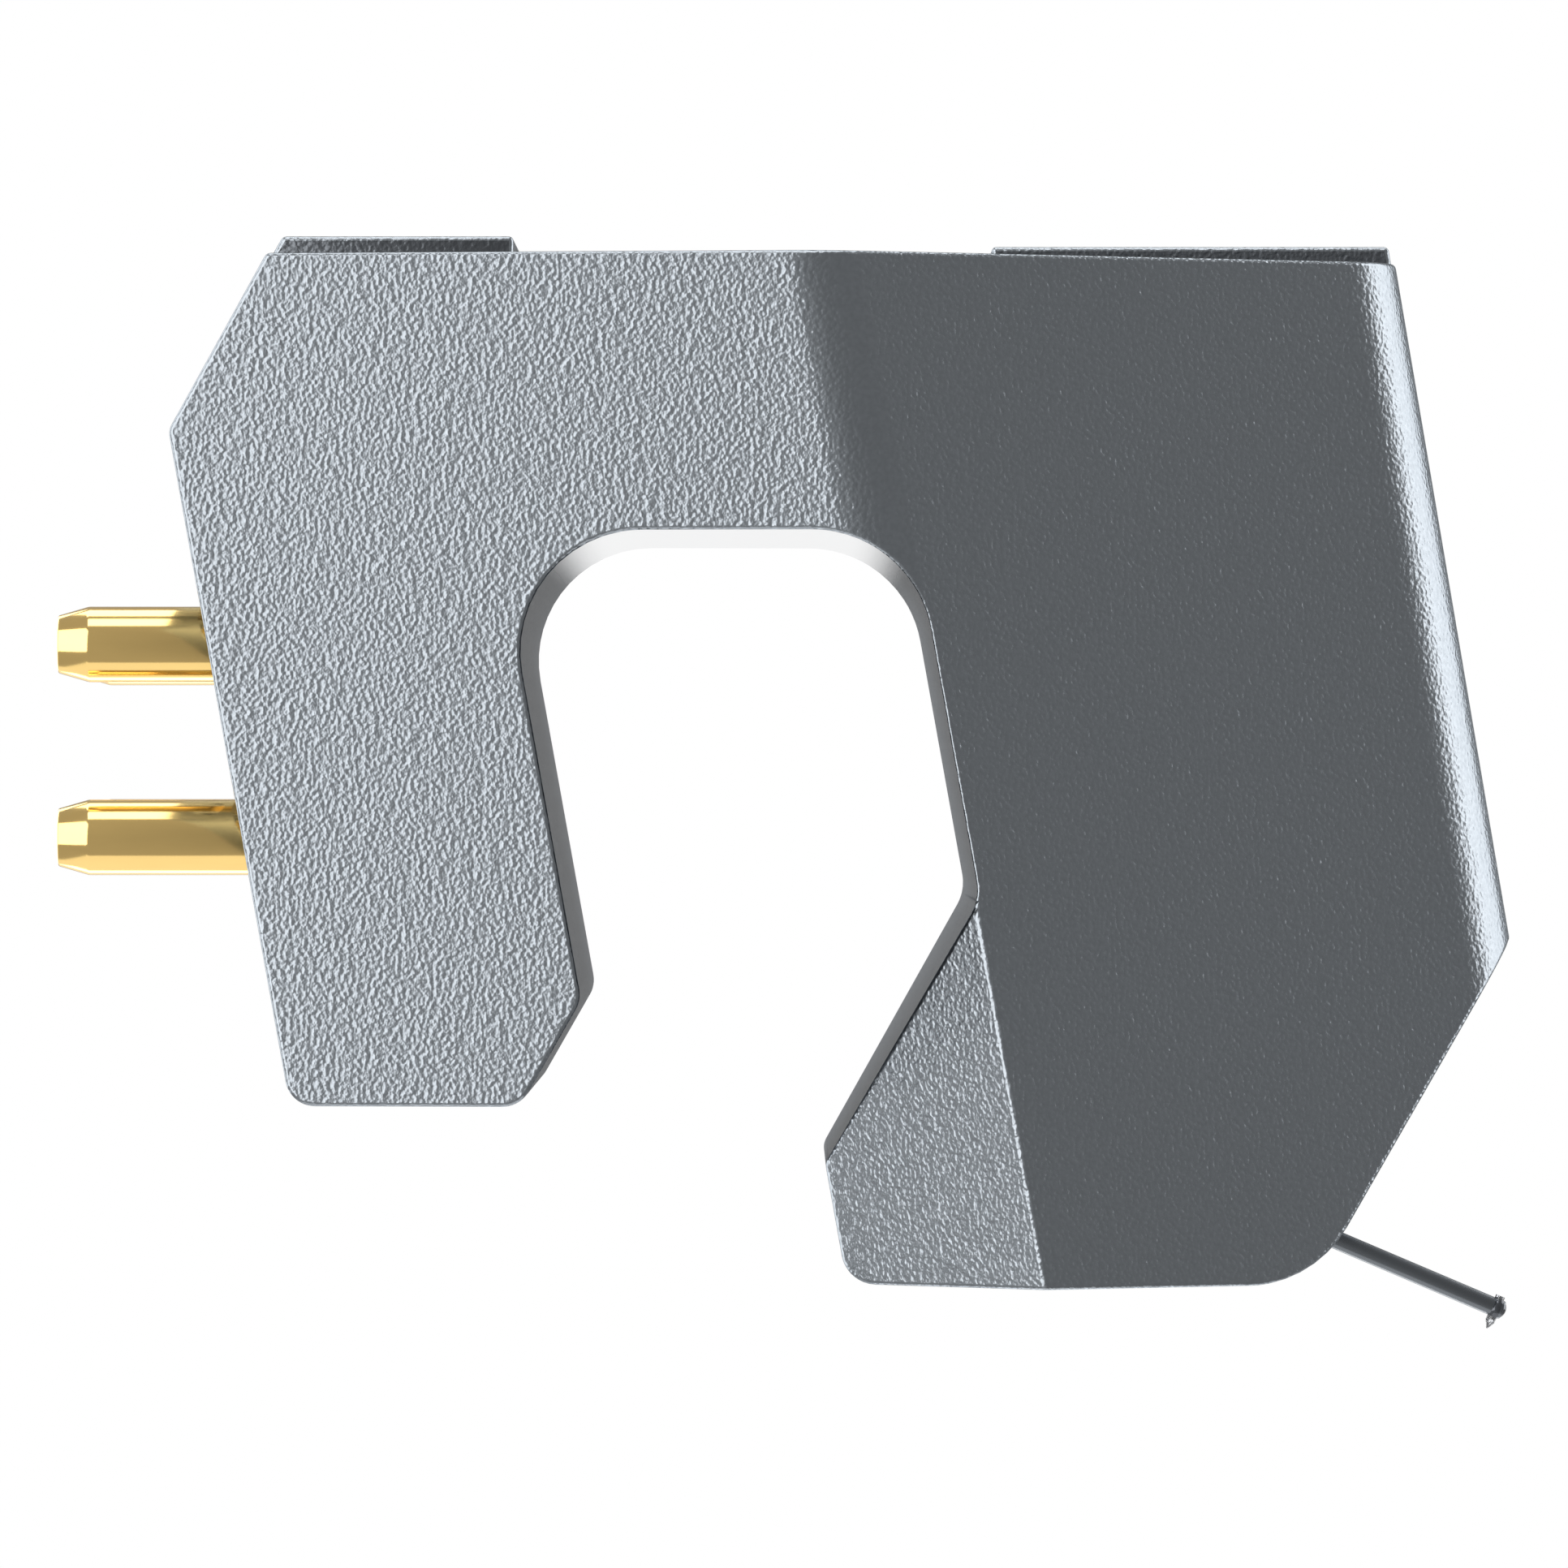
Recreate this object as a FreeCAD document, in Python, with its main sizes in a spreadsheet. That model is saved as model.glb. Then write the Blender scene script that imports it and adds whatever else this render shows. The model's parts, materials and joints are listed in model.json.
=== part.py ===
import FreeCAD, Part
import math
import os
import Sketcher

# Moving-coil pickup cartridge with a hook-shaped metal body.
# Millimetres. Origin: midway between the two mounting holes, in the body's top face.
# +X points to the nose and the stylus, +Z up, Y across.

doc = FreeCAD.newDocument("cartridge")
dim = doc.addObject("Spreadsheet::Sheet", "dim")

SIZES = {
    # side outline of the body, drops measured down from the top face
    "body_height": 16.55,
    "rake": 10.2,
    "nose_rake": 9.6,
    "slant": 29.8,
    "shoulder_slant": 29.2,
    "chin_slant": 31.0,
    "top_rear_run": 10.41,
    "shoulder_drop": 2.83,
    "rear_leg_height": 13.65,
    "rear_knee_rise": 1.71,
    "window_top_drop": 4.44,
    "window_rear_run": 6.72,
    "window_front_run": 0.08,
    "window_knee_rise": 6.23,
    "leg_tip_rise": 1.95,
    "nose_run": 7.86,
    "chin_rise": 5.53,
    "shoulder_round": 0.3,
    "rear_foot_round": 0.48,
    "inner_foot_round": 0.5,
    "rear_knee_round": 0.5,
    "window_round": 1.94,
    "window_knee_round": 0.77,
    "leg_tip_round": 0.3,
    "heel_round": 0.55,
    "toe_round": 1.9,
    "chin_round": 0.3,
    # facets seen from above
    "half_width": 9.1,
    "ridge_run": 1.495,
    "front_facet": 29.7,
    "rear_facet": 8.1,
    "leg_facet": 41.8,
    "ridge_round": 1.82,
    "nose_round": 1.73,
    "trim_margin": 1.0,
    # low pads that meet the headshell
    "pad_height": 0.34,
    "rear_pad_half_width": 5.88,
    "rear_pad_front_run": 6.5,
    "front_pad_half_width": 1.5,
    "front_pad_rear_run": 1.28,
    # two threaded mounting holes
    "hole_spacing": 12.7,
    "hole_core_radius": 1.025,
    "hole_depth": 3.4,
    "drill_point": 59.0,
    # four contact pins and their insulating bushes
    "pin_radius": 0.617,
    "pin_pitch_across": 7.0,
    "pin_pitch_up": 3.144,
    "pin_row_drop": 7.789,
    "pin_tip_run": 13.96,
    "pin_tip_radius": 0.471,
    "pin_chamfer_length": 0.5,
    "pin_inner_tail": 0.5,
    "pin_shank_radius": 0.45,
    "bush_radius": 1.3,
    "bush_length": 2.7,
    "bush_recess": 0.3,
    "bush_bore_spare": 0.35,
    # ducts for the coil leads
    "duct_radius": 0.75,
    "duct_set_in": 3.55,
    "duct_end_drop": 10.4,
    "bridge_duct_drop": 2.2,
    "front_duct_run": 0.9,
    "front_duct_end_run": 3.0,
    "front_duct_end_rise": 1.52,
    "front_duct_end_side": 0.9,
    "lead_radius": 0.09,
    "lead_spacing": 0.36,
    "lead_set_in": 3.72,
    # generator, placed along the cantilever's axis from its pivot
    "cantilever_droop": 23.04,
    "pivot_run": 3.203,
    "pivot_rise": 2.13,
    "bore_radius": 1.9,
    "bore_back": 3.3,
    "bore_front": 6.0,
    "running_gap": 0.03,
    "magnet_length": 1.1,
    "magnet_bore_radius": 0.45,
    "rear_yoke_length": 1.2,
    "rear_yoke_nose_length": 0.45,
    "rear_yoke_nose_radius": 0.85,
    "rear_yoke_flare": 0.3,
    "pipe_radius": 0.25,
    "pipe_bore_radius": 0.06,
    "pipe_length": 2.2,
    "wire_radius": 0.04,
    "damper_radius": 0.85,
    "damper_bore_radius": 0.11,
    "damper_thickness": 0.4,
    "damper_gap": 0.13,
    "front_yoke_start": 1.25,
    "front_yoke_thickness": 0.5,
    "front_yoke_half_height": 1.45,
    "front_yoke_hole_radius": 0.6,
    "yoke_arm_inner": 1.42,
    "yoke_arm_half_height": 0.7,
    "armature_start": 0.35,
    "armature_thickness": 0.4,
    "armature_radius": 1.2,
    "armature_arm_width": 0.4,
    "hub_radius": 0.45,
    "hub_back": 0.07,
    "hub_front": 1.0,
    "coil_inner_reach": 0.5,
    "coil_outer_reach": 1.08,
    "coil_build": 0.22,
    "cantilever_radius": 0.155,
    "cantilever_back": 0.4,
    "stylus_station": 7.0,
    "cantilever_tip_length": 0.13,
    "sleeve_radius": 0.27,
    "sleeve_length": 1.7,
    "shank_radius": 0.08,
    "shank_top": 0.21,
    "shank_length": 0.25,
    "stylus_height": 0.375,
    "stylus_tip_radius": 0.012,
    "cement_radius": 0.2,
    "cement_half_length": 0.16,
    "cement_cap": 0.05,
    "cement_edge": 0.005,
    # grub screw that locks the generator
    "screw_radius": 0.6,
    "screw_station": 1.58,
    "screw_length": 0.9,
    "screw_socket_radius": 0.34,
    "screw_socket_depth": 0.45,
}


def fill_sheet():
    for row, (name, value) in enumerate(SIZES.items(), start=1):
        dim.set(f"A{row}", name)
        dim.set(f"B{row}", str(value))
        dim.setAlias(f"B{row}", name)
    doc.recompute()


def calc(expression):
    return float(dim.evalExpression(str(expression)))


def line_at(start_x, start_drop, drop, angle):
    """Place on a slanting line at a drop below the top face."""
    return f"({start_x}) + (({drop}) - ({start_drop})) * tan({angle})"


def flat_sketch(name, corners, body=None, plane="XY_Plane"):
    """Closed outline of straight edges whose corners are bound to the sheet."""
    if body:
        sketch = body.newObject("Sketcher::SketchObject", name)
        support = [o for o in body.Origin.OriginFeatures if o.Role == plane][0]
        sketch.AttachmentSupport = [(support, "")]
        sketch.MapMode = "FlatFace"
    else:
        sketch = doc.addObject("Sketcher::SketchObject", name)
        if plane == "XZ_Plane":
            upright = FreeCAD.Rotation(FreeCAD.Vector(1, 0, 0), 90)
            sketch.Placement = FreeCAD.Placement(FreeCAD.Vector(), upright)
    points = [FreeCAD.Vector(calc(x), calc(y), 0) for x, y in corners]
    count = len(points)
    for i in range(count):
        sketch.addGeometry(Part.LineSegment(points[i], points[(i + 1) % count]), False)
    for i in range(count):
        sketch.addConstraint(Sketcher.Constraint("Coincident", i, 2, (i + 1) % count, 1))
    for i, (x, y) in enumerate(corners):
        pin_point(sketch, i, "DistanceX", x, points[i].x)
        pin_point(sketch, i, "DistanceY", y, points[i].y)
    return sketch


def pin_point(sketch, edge, kind, expression, value):
    index = sketch.addConstraint(Sketcher.Constraint(kind, -1, 1, edge, 1, value))
    sketch.setExpression(f"Constraints[{index}]", str(expression))


def circle_sketch(name, radius, body, plane="YZ_Plane"):
    sketch = body.newObject("Sketcher::SketchObject", name)
    support = [o for o in body.Origin.OriginFeatures if o.Role == plane][0]
    sketch.AttachmentSupport = [(support, "")]
    sketch.MapMode = "FlatFace"
    centre = FreeCAD.Vector()
    sketch.addGeometry(Part.Circle(centre, FreeCAD.Vector(0, 0, 1), calc(radius)), False)
    sketch.addConstraint(Sketcher.Constraint("Coincident", 0, 3, -1, 1))
    index = sketch.addConstraint(Sketcher.Constraint("Radius", 0, calc(radius)))
    sketch.setExpression(f"Constraints[{index}]", str(radius))
    return sketch


def extrude_across(name, sketch, width):
    """Solid of a side outline, half its width on each side of the middle."""
    block = doc.addObject("Part::Extrusion", name)
    block.Base = sketch
    block.DirMode = "Normal"
    block.Symmetric = True
    block.Solid = True
    block.setExpression("LengthFwd", width)
    return block


def extrude_raked(name, sketch, length):
    """Solid of a plan outline, drawn down along the body's rake."""
    block = doc.addObject("Part::Extrusion", name)
    block.Base = sketch
    block.DirMode = "Custom"
    block.Dir = FreeCAD.Vector(0, 0, -1)
    block.setExpression("Dir.x", "tan(dim.rake)")
    block.Solid = True
    block.setExpression("LengthFwd", f"({length}) / cos(dim.rake)")
    return block


def rounded(name, base, edges):
    """Fillet of the listed (edge number, radius) pairs."""
    fillet = doc.addObject("Part::Fillet", name)
    fillet.Base = base
    fillet.Edges = [(number, radius, radius) for number, radius in edges]
    return fillet


def edge_near(shape, place, length_along=None):
    """Number of the straight edge whose middle lies nearest to a place."""
    best = None
    for number, edge in enumerate(shape.Edges, start=1):
        if length_along is not None:
            span = edge.Vertexes[-1].Point - edge.Vertexes[0].Point
            if abs(span.normalize().dot(length_along)) < 0.9:
                continue
        ends = [v.Point for v in edge.Vertexes]
        middle = sum(ends, FreeCAD.Vector()) * (1.0 / len(ends))
        distance = (middle - place).Length
        if best is None or distance < best[0]:
            best = (distance, number)
    return best[1]


def joined(name, kind, shapes):
    result = doc.addObject(kind, name)
    result.Shapes = shapes
    return result


def cut(name, base, tool):
    result = doc.addObject("Part::Cut", name)
    result.Base = base
    result.Tool = tool
    return result


def rod(name, start, end, radius, reach="0"):
    """Cylinder between two places, each given as three expressions, and a reach past both."""
    cylinder = doc.addObject("Part::Cylinder", name)
    foot = FreeCAD.Vector(*[calc(e) for e in start])
    head = FreeCAD.Vector(*[calc(e) for e in end])
    turn = FreeCAD.Rotation(FreeCAD.Vector(0, 0, 1), head - foot)
    cylinder.Placement = FreeCAD.Placement(foot, turn)
    steps = " + ".join(f"(({b}) - ({a}))^2" for a, b in zip(start, end))
    for axis, a, b in zip("xyz", start, end):
        shift = f"({reach}) * (({b}) - ({a})) / sqrt({steps})"
        cylinder.setExpression(f"Placement.Base.{axis}", f"({a}) - {shift}")
    cylinder.setExpression("Height", f"sqrt({steps}) + 2 * ({reach})")
    cylinder.setExpression("Radius", radius)
    return cylinder


def turned(name, profile, place=None):
    """Body turned about its own X axis from (station, radius) corners."""
    body = doc.addObject("PartDesign::Body", name)
    body.Label = name
    sketch = flat_sketch(f"{name}_profile", profile, body)
    spin = body.newObject("PartDesign::Revolution", f"{name}_turned")
    spin.Profile = sketch
    spin.ReferenceAxis = (sketch, ["H_Axis"])
    spin.Angle = 360
    if place:
        body.Placement = place
    return body


def finish(piece, name, place=None):
    piece.Label = name
    if place:
        piece.Placement = place
    PIECES.append((name, piece))
    return piece


PIECES = []
fill_sheet()

# drops below the top face that follow the body's height and the rear leg's
rear_knee_drop = "(dim.rear_leg_height - dim.rear_knee_rise)"
window_knee_drop = "(dim.body_height - dim.window_knee_rise)"
leg_tip_drop = "(dim.body_height - dim.leg_tip_rise)"
chin_drop = "(dim.body_height - dim.chin_rise)"
pivot_drop = "(dim.body_height - dim.pivot_rise)"

# stations of the side outline, as expressions of the sheet
shoulder_x = "-dim.top_rear_run - dim.shoulder_drop * tan(dim.shoulder_slant)"
rear_foot_x = line_at(shoulder_x, "dim.shoulder_drop", "dim.rear_leg_height", "dim.rake")
rear_knee_x = line_at("-dim.window_rear_run", "dim.window_top_drop", rear_knee_drop, "dim.rake")
inner_foot_x = line_at(rear_knee_x, rear_knee_drop, "dim.rear_leg_height", "-dim.slant")
window_knee_x = line_at("-dim.window_front_run", "dim.window_top_drop", window_knee_drop, "dim.rake")
leg_tip_x = line_at(window_knee_x, window_knee_drop, leg_tip_drop, "-dim.slant")
heel_x = line_at(leg_tip_x, leg_tip_drop, "dim.body_height", "dim.rake")
chin_x = line_at("dim.nose_run", "0", chin_drop, "dim.nose_rake")
toe_x = line_at(chin_x, chin_drop, "dim.body_height", "-dim.chin_slant")

# plan stations at the top face
ridge_tangent = "dim.ridge_round * tan((dim.front_facet + dim.rear_facet) / 2)"
crease_x = f"-dim.ridge_run + {ridge_tangent} * cos(dim.front_facet)"
crease_side = f"dim.half_width - {ridge_tangent} * sin(dim.front_facet)"


def side_block():
    """Hook outline with every corner of the outline rounded."""
    corners = [
        ("-dim.top_rear_run", "0", None),
        (shoulder_x, "-dim.shoulder_drop", "shoulder_round"),
        (rear_foot_x, "-dim.rear_leg_height", "rear_foot_round"),
        (inner_foot_x, "-dim.rear_leg_height", "inner_foot_round"),
        (rear_knee_x, f"-{rear_knee_drop}", "rear_knee_round"),
        ("-dim.window_rear_run", "-dim.window_top_drop", "window_round"),
        ("-dim.window_front_run", "-dim.window_top_drop", "window_round"),
        (window_knee_x, f"-{window_knee_drop}", "window_knee_round"),
        (leg_tip_x, f"-{leg_tip_drop}", "leg_tip_round"),
        (heel_x, "-dim.body_height", "heel_round"),
        (toe_x, "-dim.body_height", "toe_round"),
        (chin_x, f"-{chin_drop}", "chin_round"),
        ("dim.nose_run", "0", None),
    ]
    outline = flat_sketch("side_outline", [(x, z) for x, z, _ in corners], plane="XZ_Plane")
    block = extrude_across("side_block", outline, "2 * (dim.half_width + dim.trim_margin)")
    doc.recompute()
    across = FreeCAD.Vector(0, 1, 0)
    edges = []
    for x, z, radius in corners:
        if radius:
            place = FreeCAD.Vector(calc(x), 0, calc(z))
            edges.append((edge_near(block.Shape, place, across), calc(f"dim.{radius}")))
    return rounded("side_rounded", block, edges)


def lift_plan(sketch, drop):
    """Move a plan outline to a drop below the top face, along the rake."""
    sketch.setExpression("Placement.Base.x", f"({drop}) * tan(dim.rake)")
    sketch.setExpression("Placement.Base.z", f"-({drop})")


def plan_block():
    """Raked column of the plan outline, ended by the nose, its upright edges rounded."""
    rear = "-(dim.top_rear_run + dim.shoulder_drop + dim.trim_margin)"
    front = "dim.nose_run + dim.trim_margin"
    rear_side = f"dim.half_width + ({rear} + dim.ridge_run) * tan(dim.rear_facet)"
    front_side = f"dim.half_width - ({front} + dim.ridge_run) * tan(dim.front_facet)"
    half = [(rear, rear_side), ("-dim.ridge_run", "dim.half_width"), (front, front_side)]
    corners = half + [(x, f"-({y})") for x, y in reversed(half)]
    outline = flat_sketch("plan_outline", corners)
    lift_plan(outline, "-dim.trim_margin")
    column = extrude_raked("plan_column", outline, "dim.body_height + 2 * dim.trim_margin")
    bottom = "dim.body_height + 2 * dim.trim_margin"
    nose = flat_sketch("nose_outline", [
        (f"{rear} - dim.trim_margin", "2 * dim.trim_margin"),
        (line_at("dim.nose_run", "0", "-2 * dim.trim_margin", "dim.nose_rake"), "2 * dim.trim_margin"),
        (line_at("dim.nose_run", "0", bottom, "dim.nose_rake"), f"-({bottom})"),
        (f"{rear} - dim.trim_margin", f"-({bottom})"),
    ], plane="XZ_Plane")
    nose_block = extrude_across("nose_block", nose, "2 * (dim.half_width + dim.trim_margin)")
    nosed = joined("plan_nosed", "Part::MultiCommon", [column, nose_block])
    doc.recompute()
    drop = calc("dim.body_height / 2")
    down = FreeCAD.Vector(calc("tan(dim.rake)"), 0, -1).normalize()
    ridge_x = calc(line_at("-dim.ridge_run", "0", drop, "dim.rake"))
    nose_x = calc(line_at("dim.nose_run", "0", drop, "dim.nose_rake"))
    nose_side = calc(f"dim.half_width - ({nose_x} - {ridge_x}) * tan(dim.front_facet)")
    edges = []
    for side in (1, -1):
        ridge = FreeCAD.Vector(ridge_x, side * calc("dim.half_width"), -drop)
        edges.append((edge_near(nosed.Shape, ridge, down), calc("dim.ridge_round")))
        corner = FreeCAD.Vector(nose_x, side * nose_side, -drop)
        edges.append((edge_near(nosed.Shape, corner, down), calc("dim.nose_round")))
    return rounded("plan_rounded", nosed, edges)


def leg_trims():
    """Wedges that slope the front leg back from the crease below the window."""
    start = "dim.window_top_drop + dim.window_round"
    back = f"{crease_x} + {leg_tip_drop} * tan(dim.rake) - ({leg_tip_x}) + dim.trim_margin"
    outside = "dim.half_width + dim.trim_margin"
    wedges = []
    for name, side in (("left", "1"), ("right", "-1")):
        corners = [
            (crease_x, f"{side} * ({crease_side})"),
            (f"{crease_x} - ({back})", f"{side} * ({crease_side} - ({back}) * tan(dim.leg_facet))"),
            (f"{crease_x} - ({back})", f"{side} * ({outside})"),
            (crease_x, f"{side} * ({outside})"),
        ]
        outline = flat_sketch(f"leg_trim_outline_{name}", corners)
        lift_plan(outline, start)
        length = f"dim.body_height - ({start}) + dim.trim_margin"
        wedges.append(extrude_raked(f"leg_trim_{name}", outline, length))
    return wedges


def pads():
    """Low pads on the top face, ended in line with the rear slope and the nose."""
    rear = flat_sketch("rear_pad_outline", [
        ("-dim.top_rear_run", "0"),
        ("-dim.top_rear_run + dim.pad_height * tan(dim.shoulder_slant)", "dim.pad_height"),
        ("-dim.rear_pad_front_run", "dim.pad_height"),
        ("-dim.rear_pad_front_run", "0"),
    ], plane="XZ_Plane")
    front = flat_sketch("front_pad_outline", [
        ("dim.front_pad_rear_run", "0"),
        ("dim.front_pad_rear_run", "dim.pad_height"),
        ("dim.nose_run - dim.pad_height * tan(dim.nose_rake)", "dim.pad_height"),
        ("dim.nose_run", "0"),
    ], plane="XZ_Plane")
    return [
        extrude_across("rear_pad", rear, "2 * dim.rear_pad_half_width"),
        extrude_across("front_pad", front, "2 * dim.front_pad_half_width"),
    ]


def mounting_holes():
    """Two blind holes with a drilled point, open at the top face."""
    holes = []
    for name, side in (("left", "1"), ("right", "-1")):
        across = f"{side} * dim.hole_spacing / 2"
        top = "dim.trim_margin"
        holes.append(rod(f"mounting_hole_{name}", ("0", across, f"-dim.hole_depth"), ("0", across, top),
                         "dim.hole_core_radius"))
        point = doc.addObject("Part::Cone", f"mounting_hole_point_{name}")
        point.Radius1 = 0
        point.setExpression("Radius2", "dim.hole_core_radius")
        length = "dim.hole_core_radius / tan(dim.drill_point)"
        point.setExpression("Height", length)
        point.setExpression("Placement.Base.y", across)
        point.setExpression("Placement.Base.z", f"-dim.hole_depth - {length}")
        holes.append(point)
    return holes


def pin_stations():
    """Name, side and drop of each of the four contact pins."""
    for row, up in (("upper", "-1"), ("lower", "1")):
        for side, across in (("left", "1"), ("right", "-1")):
            drop = f"(dim.pin_row_drop + {up} * dim.pin_pitch_up / 2)"
            yield f"{row}_{side}", f"{across} * dim.pin_pitch_across / 2", drop


def rear_face_x(drop):
    return line_at(shoulder_x, "dim.shoulder_drop", drop, "dim.rake")


def bush_end_x(drop):
    return f"{rear_face_x(drop)} + dim.bush_recess + dim.bush_length"


def pin_bores():
    bores = []
    for name, across, drop in pin_stations():
        end = f"{bush_end_x(drop)} + dim.bush_bore_spare"
        start = f"{rear_face_x(drop)} - dim.trim_margin"
        bores.append(rod(f"pin_bore_{name}", (start, across, f"-{drop}"), (end, across, f"-{drop}"),
                         "dim.bush_radius"))
    return bores


def duct_x(drop):
    return f"{rear_face_x(drop)} + dim.duct_set_in"


duct_end_z = f"-({pivot_drop} - dim.front_duct_end_rise)"


def duct_routes():
    """Corner places of each side's duct, from the generator to the lower pin."""
    for name, side in (("left", "1"), ("right", "-1")):
        across = f"{side} * dim.pin_pitch_across / 2"
        yield name, [
            ("dim.front_duct_end_run", f"{side} * dim.front_duct_end_side", duct_end_z),
            ("dim.front_duct_run", across, "-dim.bridge_duct_drop"),
            (duct_x("dim.bridge_duct_drop"), across, "-dim.bridge_duct_drop"),
            (duct_x("dim.duct_end_drop"), across, "-dim.duct_end_drop"),
        ]


def ducts():
    """Drilled ducts that run into each other."""
    tubes = []
    for name, (inner, front, rear, end) in duct_routes():
        tubes.append(rod(f"duct_front_{name}", inner, front, "dim.duct_radius"))
        tubes.append(rod(f"duct_bridge_{name}", front, rear, "dim.duct_radius", "dim.duct_radius"))
        tubes.append(rod(f"duct_rear_{name}", rear, end, "dim.duct_radius"))
    return tubes


def bent_wire(name, route):
    """Round wire through the places of a route, its runs overlapping at each bend."""
    pieces = []
    for i in range(len(route) - 1):
        pieces.append(rod(f"{name}_run_{i}", route[i], route[i + 1], "dim.lead_radius", "dim.lead_radius"))
    return joined(name, "Part::MultiFuse", pieces)


def lead_wires():
    """Two wires on each side, from the generator to the tails of the pins."""
    routes = dict(duct_routes())
    wires = {"left": [], "right": []}
    for name, across, drop in pin_stations():
        row, side = name.split("_")
        shift = "dim.lead_spacing / 2" if row == "upper" else "-dim.lead_spacing / 2"
        start, front = [(x, f"{y} + {shift}", z) for x, y, z in routes[side][:2]]
        lead_x = f"{rear_face_x('dim.bridge_duct_drop')} + dim.lead_set_in"
        turn = (lead_x, f"{across} + {shift}", "-dim.bridge_duct_drop")
        level = (f"{rear_face_x(drop)} + dim.lead_set_in", f"{across} + {shift}", f"-{drop}")
        tail = (f"{bush_end_x(drop)} + dim.pin_inner_tail + dim.lead_radius",
                f"{across} + {shift}", f"-{drop}")
        wires[side].append(bent_wire(f"lead_{name}", [start, front, turn, level, tail]))
    for side, pair in wires.items():
        group = doc.addObject("Part::Compound", f"{side}_leads")
        group.Links = pair
        finish(group, f"{side}_leads")


# frame of the generator: X along the cantilever, forward and down, from its pivot
generator_place = FreeCAD.Placement(
    FreeCAD.Vector(calc("dim.pivot_run"), 0, -calc(pivot_drop)),
    FreeCAD.Rotation(FreeCAD.Vector(0, 1, 0), calc("dim.cantilever_droop")),
)


def on_axis(station, rise="0"):
    """Place on the generator's axis at a station, raised square to it."""
    return (
        f"dim.pivot_run + ({station}) * cos(dim.cantilever_droop) + ({rise}) * sin(dim.cantilever_droop)",
        "0",
        f"-{pivot_drop} - ({station}) * sin(dim.cantilever_droop) + ({rise}) * cos(dim.cantilever_droop)",
    )


def generator_bore():
    return rod("generator_bore", on_axis("-dim.bore_back"), on_axis("dim.bore_front"), "dim.bore_radius")


def screw_bore():
    start = on_axis("-dim.screw_station", "-dim.bore_radius + dim.screw_radius")
    out = "dim.pivot_rise + dim.bore_radius + dim.trim_margin"
    end = on_axis("-dim.screw_station", f"-({out})")
    return rod("screw_bore", start, end, "dim.screw_radius")


def housing():
    faceted = joined("faceted", "Part::MultiCommon", [side_block(), plan_block()])
    leg_cut = cut("leg_sloped", faceted, joined("leg_trims", "Part::MultiFuse", leg_trims()))
    padded = joined("padded", "Part::MultiFuse", [leg_cut] + pads())
    tools = mounting_holes() + pin_bores() + ducts() + [generator_bore(), screw_bore()]
    finish(cut("housing", padded, joined("housing_bores", "Part::MultiFuse", tools)), "housing")


def contact_pins():
    """Turned pins with a tapered tip, each in an insulating bush."""
    for name, across, drop in pin_stations():
        tip = "-dim.pin_tip_run"
        shoulder = f"{tip} + dim.pin_chamfer_length"
        step = f"{rear_face_x(drop)} + dim.bush_recess"
        tail = f"{bush_end_x(drop)} + dim.pin_inner_tail"
        pin = turned(f"contact_pin_{name}", [
            (tip, "0"),
            (tip, "dim.pin_tip_radius"),
            (shoulder, "dim.pin_radius"),
            (step, "dim.pin_radius"),
            (step, "dim.pin_shank_radius"),
            (tail, "dim.pin_shank_radius"),
            (tail, "0"),
        ])
        bush_end = bush_end_x(drop)
        bush = turned(f"pin_bush_{name}", [
            (step, "dim.pin_shank_radius"),
            (step, "dim.bush_radius"),
            (bush_end, "dim.bush_radius"),
            (bush_end, "dim.pin_shank_radius"),
        ])
        for piece in (pin, bush):
            piece.setExpression("Placement.Base.y", across)
            piece.setExpression("Placement.Base.z", f"-{drop}")
            finish(piece, piece.Name)


# stations along the generator's axis
yoke_face = "-(dim.damper_thickness + dim.damper_gap + dim.rear_yoke_nose_length)"
yoke_back = f"{yoke_face} - dim.rear_yoke_length"
seat_radius = "dim.bore_radius - dim.running_gap"


def fixed_generator():
    """Magnet, yokes, wire pipe and suspension wire."""
    magnet_back = f"{yoke_back} - dim.magnet_length"
    finish(turned("magnet", [
        (magnet_back, "dim.magnet_bore_radius"),
        (magnet_back, seat_radius),
        (yoke_back, seat_radius),
        (yoke_back, "dim.magnet_bore_radius"),
    ], generator_place), "magnet")
    nose = f"{yoke_face} + dim.rear_yoke_nose_length"
    finish(turned("rear_yoke", [
        (yoke_back, "dim.pipe_radius"),
        (yoke_back, seat_radius),
        (yoke_face, seat_radius),
        (yoke_face, "dim.rear_yoke_nose_radius + dim.rear_yoke_flare"),
        (nose, "dim.rear_yoke_nose_radius"),
        (nose, "dim.pipe_radius"),
    ], generator_place), "rear_yoke")
    pipe_back = f"{nose} - dim.pipe_length"
    finish(turned("suspension_pipe", [
        (pipe_back, "dim.pipe_bore_radius"),
        (pipe_back, "dim.pipe_radius"),
        (nose, "dim.pipe_radius"),
        (nose, "dim.pipe_bore_radius"),
    ], generator_place), "suspension_pipe")
    finish(turned("suspension_wire", [
        (pipe_back, "0"),
        (pipe_back, "dim.wire_radius"),
        ("0", "dim.wire_radius"),
        ("0", "0"),
    ], generator_place), "suspension_wire")


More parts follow.
